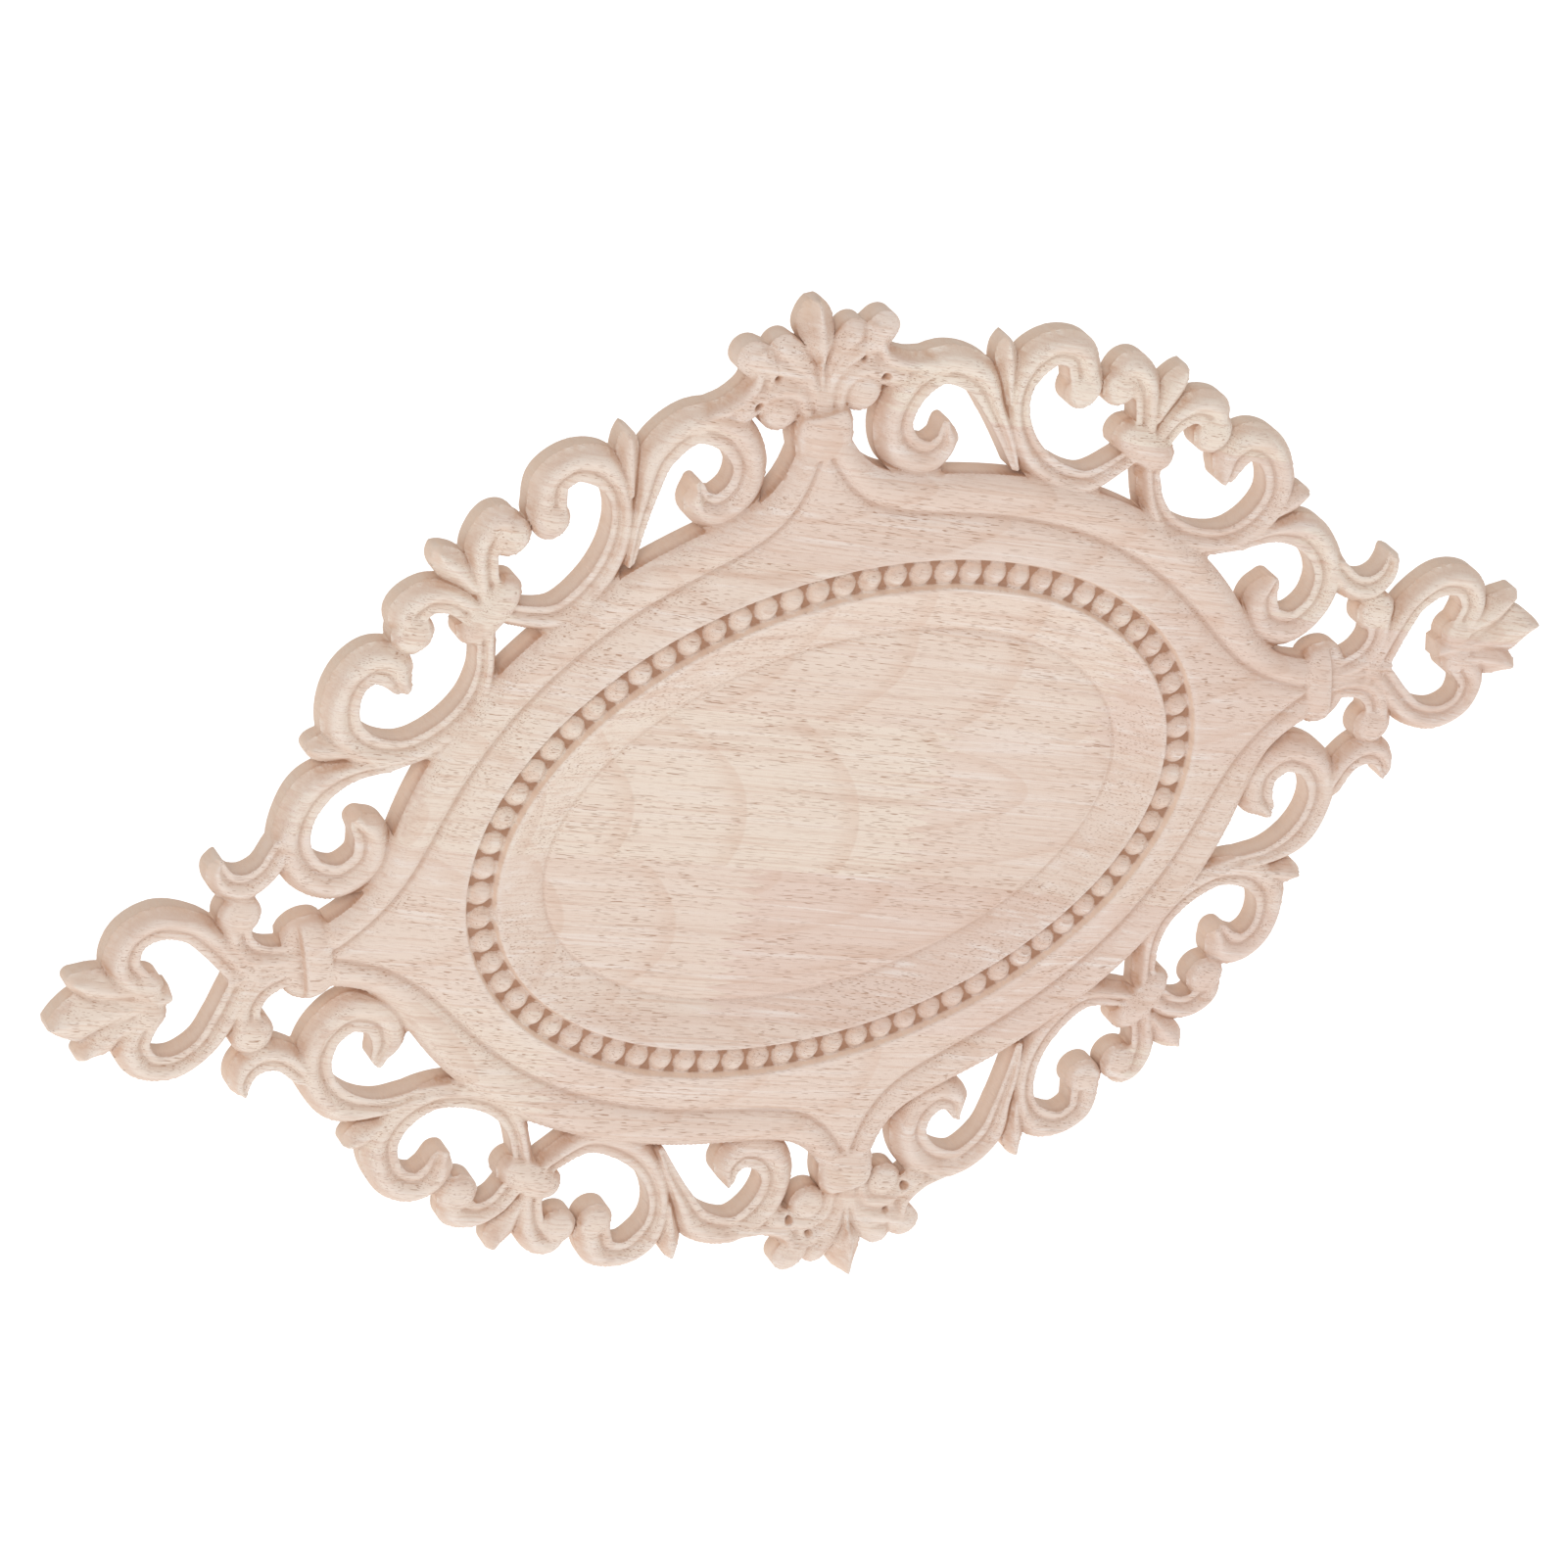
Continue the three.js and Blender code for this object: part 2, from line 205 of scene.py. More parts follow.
# Rolled ends and volutes: [x, y, radius] in plan units
KNOBS = {
    "crest_volute": [0.052, 0.561, 0.024],
    "stem_end": [0.338, 0.491, 0.0225],
    "upper_curl_end": [0.388, 0.484, 0.024],
    "lower_curl_end": [0.513, 0.391, 0.025],
    "ball_stem_end": [0.748, 0.082, 0.0255],
    "end_loop_end": [0.868, 0.018, 0.021],
}

# The straight pieces, with knots as above: roots, spines, tips and collars on the axes, and the stems' tie
STRAIGHT = {
    "crest_root": ("frond", [[0, 0.53, 0.029], [0, 0.558, 0.029], [0, 0.575, 0.02]]),
    "crest_spine": ("leaf", [[0, 0.5, 0.006], [0, 0.6, 0.007], [0, 0.64, 0.012]]),
    "crest_tip": ("bud", [
        [0, 0.609, 0.001], [0, 0.625, 0.0095], [0, 0.64, 0.018], [0, 0.65, 0.022], [0, 0.661, 0.022],
        [0, 0.674, 0.0165], [0, 0.682, 0.01], [0, 0.6855, 0.0055],
    ]),
    "crest_collar": ("cup", [
        [0, 0.492, 0.031], [0, 0.503, 0.0345], [0, 0.523, 0.0365], [0, 0.538, 0.0345], [0, 0.5455, 0.031],
    ]),
    "end_spine": ("leaf", [[0.66, 0, 0.013], [0.72, 0, 0.013], [0.77, 0, 0.008]]),
    "end_tip": ("leaf", [
        [0.84, 0, 0.012], [0.9, 0, 0.03], [0.945, 0, 0.033], [0.97, 0, 0.0195], [0.981, 0, 0.009],
        [0.985, 0, 0.004],
    ]),
    "end_collar": ("cuff", [
        [0.648, 0, 0.046], [0.656, 0, 0.0525], [0.67, 0, 0.0555], [0.684, 0, 0.053], [0.695, 0, 0.046],
        [0.701, 0, 0.038],
    ]),
    "tie": ("tie", [
        [0.4069, 0.3827, 0.036], [0.4121, 0.3886, 0.0445], [0.4192, 0.3965, 0.0475],
        [0.4263, 0.4044, 0.0445], [0.4315, 0.4103, 0.036],
    ]),
}

# Lines cut into the leaves: their depth, and knots of [x, y, half width]
VEINS = {
    "reed": (0.6, [[0.012, 0.553, 0.001], [0.013, 0.572, 0.0035], [0.022, 0.59, 0.0035],
                   [0.036, 0.6, 0.0035], [0.054, 0.604, 0.004]]),
    "leaf": (0.5, [[0.004, 0.585, 0.002], [0.009, 0.6, 0.003], [0.02, 0.614, 0.003],
                    [0.036, 0.622, 0.003], [0.056, 0.627, 0.003]]),
    "lobes": (0.5, [[0.061, 0.668, 0.004], [0.059, 0.65, 0.004], [0.056, 0.63, 0.0035],
                    [0.055, 0.606, 0.003]]),
    "tail": (0.5, [[0.062, 0.614, 0.003], [0.07, 0.593, 0.004], [0.08, 0.575, 0.004]]),
    "end_valley": (0.5, [[0.952, 0.038, 0.004], [0.943, 0.029, 0.005], [0.925, 0.018, 0.0045],
                         [0.904, 0.01, 0.004], [0.886, 0.003, 0.003]]),
    "end_notch": (0.5, [[0.914, 0.066, 0.004], [0.909, 0.046, 0.0045], [0.899, 0.028, 0.004]]),
}

# Drilled eyes between the leaves: [x, y, radius] in plan units and the depth in millimetres
EYES = [[0.0545, 0.6035, 0.0045, 1.5], [0.0805, 0.574, 0.006, 2.6]]


def smooth_path(knots, steps=14):
    """A curve through the knots: cubic Hermite spans with centripetal Catmull-Rom tangents."""
    k = np.asarray(knots, float) * UNIT
    k = np.vstack([2 * k[0] - k[1], k, 2 * k[-1] - k[-2]])
    gap = np.sqrt(np.linalg.norm(np.diff(k, axis=0), axis=1))[:, None]
    p0, p1, p2, p3 = k[:-3], k[1:-2], k[2:-1], k[3:]
    g0, g1, g2 = gap[:-2], gap[1:-1], gap[2:]
    m1 = ((p1 - p0) / g0 - (p2 - p0) / (g0 + g1) + (p2 - p1) / g1) * g1
    m2 = ((p2 - p1) / g1 - (p3 - p1) / (g1 + g2) + (p3 - p2) / g2) * g1
    t = np.linspace(0, 1, steps, endpoint=False)[None, :, None]
    a, b, c, d = p1[:, None], p2[:, None], m1[:, None], m2[:, None]
    span = (
        (2 * t**3 - 3 * t**2 + 1) * a
        + (t**3 - 2 * t**2 + t) * c
        + (3 * t**2 - 2 * t**3) * b
        + (t**3 - t**2) * d
    )
    return np.vstack([span.reshape(-1, 3), k[-2]])


def smoothstep(low, high, value):
    """0 below low, 1 above high, and three squares less two cubes of the way between them."""
    t = np.clip((value - low) / (high - low), 0, 1)
    return t * t * (3 - 2 * t)


def scroll_height(across):
    """A roll that rises from the shoulder at -1 to its crown, then a groove and a flat fillet at 1.

    It falls by the power 1.9 of the offset from the crown on one side, and by the power 1.8 on the other.
    """
    crown, foot, lip = -0.16, 0.44, 0.64
    rise = SCROLL_ROLL - SCROLL_SHOULDER
    fall = np.clip((crown - across) / (1 + crown), 0, 1)
    outer = SCROLL_SHOULDER + rise * (1 - fall**1.9)
    dip = np.clip((across - crown) / (foot - crown), 0, 1)
    inner = SCROLL_ROLL - (SCROLL_ROLL - SCROLL_GROOVE) * dip**1.8
    fillet = SCROLL_GROOVE + (SCROLL_RIDGE - SCROLL_GROOVE) * smoothstep(foot, lip, across)
    return np.where(across < crown, outer, np.where(across < foot, inner, fillet))


def leaf_height(across):
    """A ridge along the middle. Its cheeks fall to the edge by the power 1.4 of the offset."""
    return LEAF_EDGE + (LEAF_CREASE - LEAF_EDGE) * (1 - np.abs(across) ** 1.4)


def frond_height(across):
    """A low ridge over broad cheeks, which fall by the power 1.5 of the offset."""
    return FROND_EDGE + (FROND_RIDGE - FROND_EDGE) * (1 - np.abs(across) ** 1.5)


def bud_height(across, ahead):
    """Two flat cheeks that meet in a sharp ridge, which sinks towards the tip by the square of the way.

    The edges of the cheeks stand high at the foot and low round the tip.
    """
    foot_end, tip_start, sink = 0.25, 0.65, 1.2
    edge = BUD_FOOT - (BUD_FOOT - BUD_EDGE) * smoothstep(foot_end, tip_start, ahead)
    return edge + (BUD_RIDGE - sink * ahead**2 - edge) * (1 - np.abs(across))


def barrel_height(across, crown, edge):
    """Round from the crown to the edge on both sides: the root of 1 less the cube of the offset."""
    return edge + (crown - edge) * np.sqrt(1 - ROUND * np.abs(across) ** 3)


def tie_height(across, ahead):
    """A barrel whose crown sinks from its middle to both ends by the square of the way."""
    sink = 1.5
    return barrel_height(across, BAND_TOP - sink * (2 * ahead - 1) ** 2, TIE_EDGE)


def cup_height(across, ahead):
    """A barrel whose crown rises from the panel to a place near its rim, by the square of the way."""
    highest, sink = 0.8, 1.3
    return barrel_height(across, CUP_TOP - sink * (ahead - highest) ** 2, CUP_EDGE)


def cuff_height(across, ahead):
    """A barrel over the half towards the panel, then a lower shoulder that falls to the stems.

    The crown sinks by the square of the way from the barrel's middle, and the shoulder falls evenly.
    """
    middle, reach, sink, fall = 0.32, 0.3, 0.5, 2
    strip = BAND_TOP - sink * ((ahead - middle) / reach) ** 2
    crown = np.where(ahead < middle + reach, strip, CUFF_SHOULDER - fall * ahead)
    return barrel_height(across, crown, CUFF_EDGE)


def knob_height(across):
    """A dome over the whole round: the root of 1 less the square of the offset."""
    return KNOB_EDGE + (KNOB_TOP - KNOB_EDGE) * np.sqrt(1 - ROUND * across**2)


# Sections of the curved runs by the offset across, and of the straight pieces by it and the way ahead
SECTIONS = {
    "left": scroll_height,
    "right": lambda across: scroll_height(-across),
    "leaf": leaf_height,
    "frond": frond_height,
}
STRAIGHT_SECTIONS = {
    "tie": tie_height,
    "leaf": lambda across, ahead: leaf_height(across),
    "frond": lambda across, ahead: frond_height(across),
    "bud": bud_height,
    "cup": cup_height,
    "cuff": cuff_height,
}


class Relief:
    """Heights and signed inside distances on a grid, in millimetres, as runs are laid over each other."""

    LEAST_HALF = 0.05

    def __init__(self, xs, ys):
        self.xs, self.ys = xs, ys
        shape = (len(ys), len(xs))
        self.height = np.full(shape, NOTHING)
        self.inside = np.full(shape, NOTHING)

    def window(self, low, high):
        """The slices of the grid between two corners, and its coordinates there."""
        columns = slice(*np.searchsorted(self.xs, [low[0], high[0]]))
        rows = slice(*np.searchsorted(self.ys, [low[1], high[1]]))
        return rows, columns, *np.meshgrid(self.xs[columns], self.ys[rows])

    def round_path(self, path):
        """The window round a path, with room for its half width and for the walls."""
        reach = path[:, 2].max() + ROOM
        return self.window(path[:, :2].min(0) - reach, path[:, :2].max(0) + reach)

    def lay(self, rows, columns, height, inside):
        """Keeps the higher surface. Outside its plan a surface falls by the draft times the distance."""
        fallen = height - DRAFT * np.maximum(-inside, 0)
        self.height[rows, columns] = np.maximum(self.height[rows, columns], fallen)
        self.inside[rows, columns] = np.maximum(self.inside[rows, columns], inside)

    def along(self, path):
        """The window round a path, and in it the offset square to the path, the offset and the half width.

        Both offsets are over the half width. The square one has a sign and stays 0 straight past the ends.
        """
        rows, columns, gx, gy = self.round_path(path)
        best = np.full(gx.shape, np.inf)
        side = np.zeros(gx.shape)
        half = np.ones(gx.shape)
        for start, step in zip(path[:-1], np.diff(path, axis=0)):
            px, py = gx - start[0], gy - start[1]
            length2 = step[0] ** 2 + step[1] ** 2 + 1e-12
            t = np.clip((px * step[0] + py * step[1]) / length2, 0, 1)
            wide = np.maximum(start[2] + t * step[2], self.LEAST_HALF)
            ratio = np.hypot(px - t * step[0], py - t * step[1]) / wide
            nearer = ratio < best
            best = np.where(nearer, ratio, best)
            half = np.where(nearer, wide, half)
            square = (step[0] * py - step[1] * px) / math.sqrt(length2) / wide
            side = np.where(nearer, square, side)
        return rows, columns, side, best, half

    def sweep(self, path, section):
        """Carries a section along a path: height depends on the offset over the half width there."""
        rows, columns, side, best, half = self.along(path)
        across = best if section in ("leaf", "frond") else side
        inside = half * (1 - best) + SWELL
        self.lay(rows, columns, SECTIONS[section](np.clip(across, -1, 1)), inside)

    def spear(self, path, section):
        """A straight piece: at each place along its middle line the section is as wide as the path there."""
        rows, columns, gx, gy = self.round_path(path)
        axis = path[-1, :2] - path[0, :2]
        length = math.hypot(*axis)
        axis = axis / length
        px, py = gx - path[0, 0], gy - path[0, 1]
        place = px * axis[0] + py * axis[1]
        offset = axis[0] * py - axis[1] * px
        stops = (path[:, :2] - path[0, :2]) @ axis
        wide = np.interp(place, stops, path[:, 2])
        taper = np.interp(place, stops, np.gradient(path[:, 2], stops))
        inside = (wide - np.abs(offset)) / np.sqrt(1 + taper**2)
        inside = np.minimum(inside, np.minimum(place, length - place)) + SWELL
        across = np.clip(offset / np.maximum(wide, self.LEAST_HALF), -1, 1)
        ahead = np.clip(place / length, 0, 1)
        self.lay(rows, columns, STRAIGHT_SECTIONS[section](across, ahead), inside)

    def engrave(self, path, depth):
        """Lowers a path by the depth times the power 1.3 of 1 less the offset."""
        rows, columns, _, best, _ = self.along(path)
        self.height[rows, columns] -= depth * np.clip(1 - best, 0, 1) ** 1.3

    def drill(self, x, y, radius, depth):
        """Lowers a round by a bowl: the depth times 1 less the square of the offset over the radius."""
        rows, columns, gx, gy = self.window((x - radius, y - radius), (x + radius, y + radius))
        share = np.clip(np.hypot(gx - x, gy - y) / radius, 0, 1)
        self.height[rows, columns] -= depth * (1 - share**2)

    def round_knob(self, x, y, radius):
        """Lays a domed round."""
        reach = radius + ROOM
        rows, columns, gx, gy = self.window((x - reach, y - reach), (x + reach, y + reach))
        far = np.hypot(gx - x, gy - y)
        self.lay(rows, columns, knob_height(np.clip(far / radius, 0, 1)), radius - far + SWELL)


def horned_oval(oval, crest, end, count=400):
    """One quarter of an ellipse whose ends are pushed out by horns.

    A horn has its full reach over its half width and fades by the exponential of the distance beyond it.
    """
    angle = np.linspace(0, math.pi / 2, count)
    x, y = oval[0] * np.cos(angle), oval[1] * np.sin(angle)

    def horn(shape, off):
        """How far the outline is pushed out at a distance off the horn's axis."""
        return shape["reach"] * np.exp(-np.maximum(off - shape["half"], 0) / shape["fade"])

    points = np.column_stack([x + horn(end, y), y + horn(crest, x)])
    points[0, 1] = 0
    points[-1, 0] = 0
    return points * UNIT


def oval_distance(gx, gy, outline):
    """Signed distance to a star-shaped outline, positive inside it: to the nearest of its long chords."""
    stride = 4
    far = np.full(gx.shape, np.inf)
    for start, end in zip(outline[:-1:stride], outline[stride::stride]):
        along = end - start
        px, py = gx - start[0], gy - start[1]
        t = np.clip((px * along[0] + py * along[1]) / (along @ along), 0, 1)
        far = np.minimum(far, np.hypot(px - t * along[0], py - t * along[1]))
    bearing = np.arctan2(outline[:, 1], outline[:, 0])
    rim = np.interp(np.arctan2(gy, gx), bearing, np.hypot(outline[:, 0], outline[:, 1]))
    return np.where(np.hypot(gx, gy) < rim, far, -far)


def ellipse_distance(gx, gy, a, b):
    """Signed distance to an ellipse, positive inside it: 1 less its level, times its level over its slope."""
    level = np.hypot(gx / a, gy / b) + 1e-9
    slope = np.hypot(gx / a**2, gy / b**2) + 1e-9
    return (1 - level) * level / slope


def panel_height(gx, gy):
    """Heights and inside distances of the panel, between its outlines from the outside in.

    The moulding rolls over at its edge by the power 2.2 of the way and sinks by the cube of the way to the
    crease, a narrow cut. The field rises evenly to the groove of the beads. Inside the ring the rim falls
    by the power 0.9 of the way to a fine line round the dish, which deepens slowly to its middle.
    """
    groove = BEAD_GROOVE / 2
    outer = oval_distance(gx, gy, horned_oval(PANEL_OVAL, CREST_HORN, END_HORN))
    crease = oval_distance(gx, gy, horned_oval(CREASE_OVAL, CREST_CREASE, END_CREASE))
    ring = ellipse_distance(gx, gy, BEAD_OVAL[0] * UNIT, BEAD_OVAL[1] * UNIT)
    dish = ellipse_distance(gx, gy, DISH_OVAL[0] * UNIT, DISH_OVAL[1] * UNIT)

    def between(low, high):
        """The share of the way from one outline, where low is 0, to the next, where high is 0."""
        return np.clip(low / np.maximum(low - high, 1e-6), 0, 1)

    band = between(outer, crease)
    field = between(crease, ring + groove)
    slope = between(ring - groove, dish)
    roll = np.clip(outer / EDGE_ROLL, 0, 1)
    moulding = PANEL_MOULDING - (PANEL_MOULDING - PANEL_EDGE) * (1 - roll) ** 2.2
    moulding = moulding - (PANEL_MOULDING - CREASE_SHOULDER) * band**3
    rise = CREASE_SHOULDER + (PANEL_BROW - CREASE_SHOULDER) * field
    fall = PANEL_BROW - (PANEL_BROW - DISH_EDGE) * slope**0.9
    deep = DISH_EDGE - (DISH_EDGE - DISH_MIDDLE) * smoothstep(0, DISH_FALL, dish)
    height = np.where(crease < 0, moulding, rise)
    height = height - (CREASE_SHOULDER - PANEL_CREASE) * np.exp(-((np.abs(crease) / CREASE_CUT) ** 1.4))
    sunk = np.maximum(PANEL_BROW - GROOVE_SLOPE * (groove - np.abs(ring)), BEAD_FLOOR)
    height = np.where(ring > -groove, sunk, height)
    height = np.where(ring > groove, fall, height)
    line = DISH_LINE_DEPTH * np.exp(-((dish / DISH_LINE) ** 2))
    return np.where(dish > 0, deep, height) - line, outer + SWELL


def bead_domes(gx, gy, height):
    """Domed beads, evenly spaced by arc length along the groove. Each falls by the power 2.3 of its offset.

    Returns the heights with the beads, and the share of bare floor in the corners between them, which
    starts at the foot of the beads and away from the line through their middles. Off the groove it is nan.
    """
    a, b = BEAD_OVAL[0] * UNIT, BEAD_OVAL[1] * UNIT
    turn = np.linspace(0, 2 * math.pi, 7201)
    x, y = a * np.cos(turn), b * np.sin(turn)
    run = np.concatenate([[0], np.cumsum(np.hypot(np.diff(x), np.diff(y)))])
    count = round(run[-1] / BEAD_PITCH)
    at = np.interp(np.arange(count) * run[-1] / count, run, turn)
    centres = np.column_stack([a * np.cos(at), b * np.sin(at)])
    radius = BEAD_WIDTH / 2
    foot, bare = 0.84, 1.02
    corner_start, corner_full = 1.2, 2.3
    ring = np.abs(ellipse_distance(gx, gy, a, b))
    near = ring < BEAD_GROOVE / 2
    px, py = gx[near], gy[near]
    far = np.full(px.shape, np.inf)
    for cx, cy in centres:
        far = np.minimum(far, np.hypot(px - cx, py - cy))
    dome = BEAD_FLOOR + (BEAD_TOP - BEAD_FLOOR) * np.clip(1 - (far / radius) ** 2.3, 0, 1)
    height = height.copy()
    height[near] = np.maximum(height[near], dome)
    corner = np.full(gx.shape, np.nan)
    aside = np.sqrt(np.maximum(far**2 - ring[near] ** 2, 0))
    corner[near] = smoothstep(foot, bare, far / radius) * smoothstep(corner_start, corner_full, aside)
    return height, corner


def blurred(field, spread):
    """A field with a Gaussian blur along rows, then along columns. The spread is in cells."""
    reach = math.ceil(3 * spread)
    taps = np.exp(-0.5 * (np.arange(-reach, reach + 1) / spread) ** 2)
    taps /= taps.sum()
    for axis in (0, 1):
        padded = np.pad(field, [(reach, reach) if k == axis else (0, 0) for k in (0, 1)], mode="edge")
        parts = [np.take(padded, range(i, i + field.shape[axis]), axis=axis) for i in range(2 * reach + 1)]
        field = sum(w * part for w, part in zip(taps, parts))
    return field


def mirrored(quarter, overlap):
    """The whole plan from its upper right quarter: the columns and rows past the axes overlap."""
    right = quarter[overlap:, overlap:]
    upper = np.hstack([right[:, :0:-1], right])
    return np.vstack([upper[:0:-1], upper])


def folded(field, overlap, axis):
    """The higher of a field and its mirror image in the overlap past an axis of the plan."""
    field = np.moveaxis(field, axis, 0).copy()
    field[: 2 * overlap + 1] = np.maximum(field[: 2 * overlap + 1], field[2 * overlap :: -1])
    return np.moveaxis(field, 0, axis)


def quarter_relief(overlap):
    """The upper right quarter of the carving, with its overlap past both axes.

    Panel, runs, straight pieces and knobs are laid over each other, then the veins and eyes are cut.
    """
    xs = np.arange(-overlap, math.ceil(LENGTH / 2 / GRID) + MARGIN_CELLS) * GRID
    ys = np.arange(-overlap, math.ceil(TOP_REACH * UNIT / GRID) + MARGIN_CELLS) * GRID
    relief = Relief(xs, ys)
    gx, gy = np.meshgrid(xs, ys)
    relief.lay(slice(None), slice(None), *panel_height(np.abs(gx), np.abs(gy)))
    for section, knots in RUNS.values():
        relief.sweep(smooth_path(knots), section)
    for section, knots in STRAIGHT.values():
        relief.spear(smooth_path(knots), section)
    for knob in KNOBS.values():
        relief.round_knob(*(share * UNIT for share in knob))
    for axis in (0, 1):
        relief.height = folded(relief.height, overlap, axis)
        relief.inside = folded(relief.inside, overlap, axis)
    for depth, knots in VEINS.values():
        relief.engrave(smooth_path(knots), depth)
    for x, y, radius, depth in EYES:
        relief.drill(x * UNIT, y * UNIT, radius * UNIT, depth)
    return relief


def whole_relief():
    """Grid coordinates, heights and inside distances of the whole carving, and its fields of painted shade
    and highlight.

    The shade and highlight field is a blur of the height less the height: above 0 in creases, where it paints
    shade, and below 0 on ridges and rims, where it paints a highlight. In the bead groove it is high only
    between the beads.
    The wall shade field is a wider blur of the height over the panel's: high where walls stand close
    together, where it paints shade on them.
    """
    relief = quarter_relief(OVERLAP)
    height = mirrored(relief.height, OVERLAP)
    inside = mirrored(relief.inside, OVERLAP)
    x = np.arange(-(height.shape[1] // 2), height.shape[1] // 2 + 1) * GRID
    y = np.arange(-(height.shape[0] // 2), height.shape[0] // 2 + 1) * GRID
    gx, gy = np.meshgrid(x, y)
    height, corner = bead_domes(gx, gy, height)
    height = blurred(height, SANDING)
    edge = np.clip(EDGE_ROUND - inside, 0, EDGE_ROUND)
    height = height - (EDGE_ROUND - np.sqrt(EDGE_ROUND**2 - edge**2 + 1e-9))
    height = np.maximum(height, LOWEST)
    # Field of painted shade in creases and bead corners, and of a painted highlight on ridges and rims
    shade_and_highlight = blurred(height, SHADE_AND_HIGHLIGHT_SPREAD / GRID) - height
    shade_and_highlight = np.where(np.isnan(corner), shade_and_highlight, CORNER_SHADE * np.nan_to_num(corner))
    # Field of painted shade on walls that stand close together
    wall_shade = blurred(height, WALL_SHADE_SPREAD / GRID) / PANEL_BROW
    return gx, gy, height, inside, {"shade_and_highlight": shade_and_highlight, "wall_shade": wall_shade}


# Cells of the plan by which corners lie inside (1, 2, 4, 8 round the cell). c is a corner, e a cut side.
CELLS = {
    1: [["c0", "e0", "e3"]],
    2: [["c1", "e1", "e0"]],
    3: [["c0", "c1", "e1", "e3"]],
    4: [["c2", "e2", "e1"]],
    5: [["c0", "e0", "e3"], ["c2", "e2", "e1"]],
    6: [["c1", "c2", "e2", "e0"]],
    7: [["c0", "c1", "c2", "e2", "e3"]],
    8: [["c3", "e3", "e2"]],
    9: [["c0", "e0", "e2", "c3"]],
    10: [["c1", "e1", "e0"], ["c3", "e3", "e2"]],
    11: [["c0", "c1", "e1", "e2", "c3"]],
    12: [["c3", "e3", "e1", "c2"]],
    13: [["c0", "e0", "e1", "c2", "c3"]],
    14: [["c1", "c2", "c3", "e3", "e0"]],
    15: [["c0", "c1", "c2", "c3"]],
}


def carved_mesh(name, gx, gy, height, inside):
    """Marching squares over the plan for the top, the same outline for the flat back, and upright walls.

    Points on the outline keep a least share of their cell's side, so no sliver is left beside them.
    """
    least_share = 0.12
    solid = inside > 0
    number = np.full(inside.shape, -1)
    number[solid] = np.arange(solid.sum())
    points = [np.column_stack([gx[solid], gy[solid], height[solid]])]
    total = int(solid.sum())

    def cut(axis):
        """Points where the outline crosses the grid lines along an axis, and their numbers."""
        nonlocal total
        first = (slice(None), slice(None, -1)) if axis else (slice(None, -1), slice(None))
        second = (slice(None), slice(1, None)) if axis else (slice(1, None), slice(None))
        crossed = solid[first] != solid[second]
        f, s = inside[first][crossed], inside[second][crossed]
        t = np.clip(f / (f - s), least_share, 1 - least_share)
        ids = np.full(crossed.shape, -1)
        ids[crossed] = total + np.arange(crossed.sum())
        total += int(crossed.sum())
        top = np.where(solid[first][crossed], height[first][crossed], height[second][crossed])
        points.append(
            np.column_stack([
                gx[first][crossed] * (1 - t) + gx[second][crossed] * t,
                gy[first][crossed] * (1 - t) + gy[second][crossed] * t,
                top - RIM_DROP,
            ])
        )
        return ids

    across, upright = cut(1), cut(0)
    corner = {
        "c0": number[:-1, :-1],
        "c1": number[:-1, 1:],
        "c2": number[1:, 1:],
        "c3": number[1:, :-1],
        "e0": across[:-1],
        "e2": across[1:],
        "e3": upright[:, :-1],
        "e1": upright[:, 1:],
    }
    code = sum(bit * (corner[c] >= 0) for bit, c in ((1, "c0"), (2, "c1"), (4, "c2"), (8, "c3")))
    faces = {3: [], 4: [], 5: []}
    walls = []
    for case, polygons in CELLS.items():
        here = code == case
        for names in polygons:
            face = np.column_stack([corner[n][here] for n in names])
            faces[len(names)].append(face)
            for i, start in enumerate(names):
                end = names[(i + 1) % len(names)]
                if start[0] == "e" and end[0] == "e":
                    walls.append(face[:, [i, (i + 1) % len(names)]])
    top = np.vstack(points)
    back = top * [1, 1, 0]
    wall = np.vstack(walls)
    quads = np.column_stack([wall[:, 1], wall[:, 0], wall[:, 0] + total, wall[:, 1] + total])
    groups = []
    for parts in faces.values():
        face = np.vstack(parts)
        groups += [face, face[:, ::-1] + total]
    groups.append(quads)
    plan = np.vstack([top, back]) * MM
    return mesh_of(name, np.column_stack([plan[:, 0], -plan[:, 2], plan[:, 1]]), groups)


def mesh_of(name, points, groups):
    """A mesh from an array of points and arrays of faces, one array for each number of corners."""
    mesh = bpy.data.meshes.new(name)
    sizes = np.concatenate([np.full(len(g), g.shape[1]) for g in groups])
    corners = np.concatenate([g.ravel() for g in groups])
    mesh.vertices.add(len(points))
    mesh.vertices.foreach_set("co", points.astype(np.float32).ravel())
    mesh.loops.add(len(corners))
    mesh.loops.foreach_set("vertex_index", corners.astype(np.int32))
    mesh.polygons.add(len(sizes))
    starts = np.concatenate([[0], np.cumsum(sizes)[:-1]])
    mesh.polygons.foreach_set("loop_start", starts.astype(np.int32))
    mesh.update(calc_edges=True)
    mesh.validate()
    return mesh


